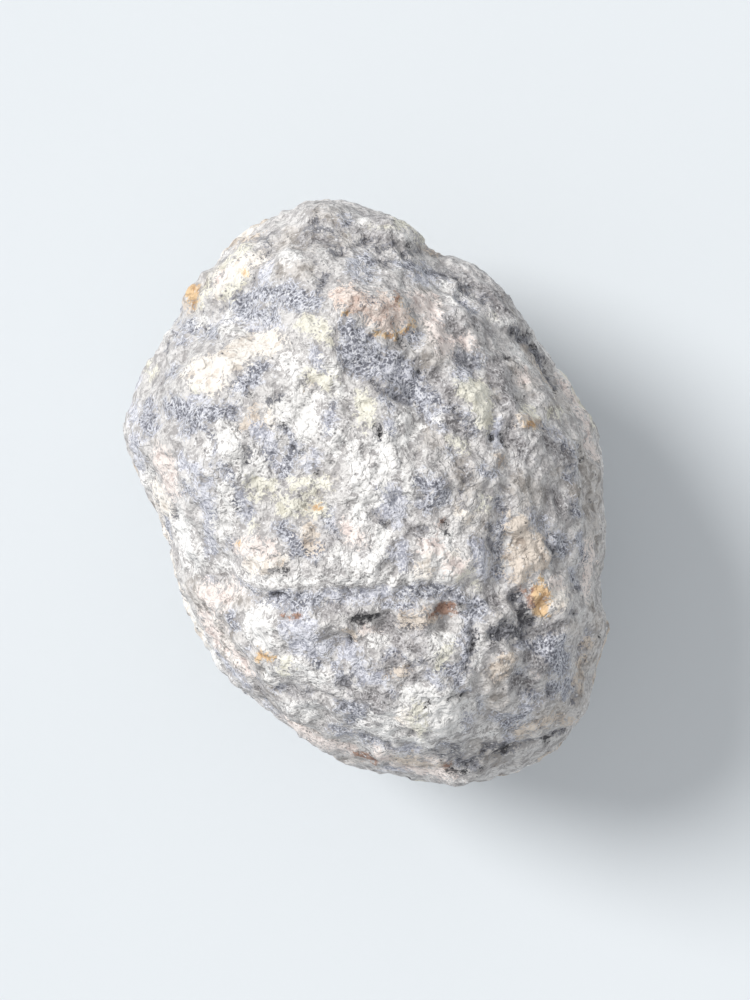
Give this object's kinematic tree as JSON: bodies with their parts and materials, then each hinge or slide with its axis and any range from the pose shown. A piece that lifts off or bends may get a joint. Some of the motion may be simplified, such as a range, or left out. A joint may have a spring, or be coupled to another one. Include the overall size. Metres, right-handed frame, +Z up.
{
  "type": "geode",
  "caption": "Whole unopened geode: a lumpy, slightly flattened egg of grey and cream stone that lies on its side on a small worn flat.",
  "frame": {"origin": "middle of the bounding box, on the surface that the stone rests on", "axes": "+Z up, +Y along the stone's long axis towards its capped end, +X across it"},
  "size_m": [0.0472, 0.0626, 0.0418],
  "materials": {
    "rind": "rough, chalky and finely pitted, with small glints"
  },
  "bodies": {
    "root": {"geode": "rind"}
  },
  "joints": []
}
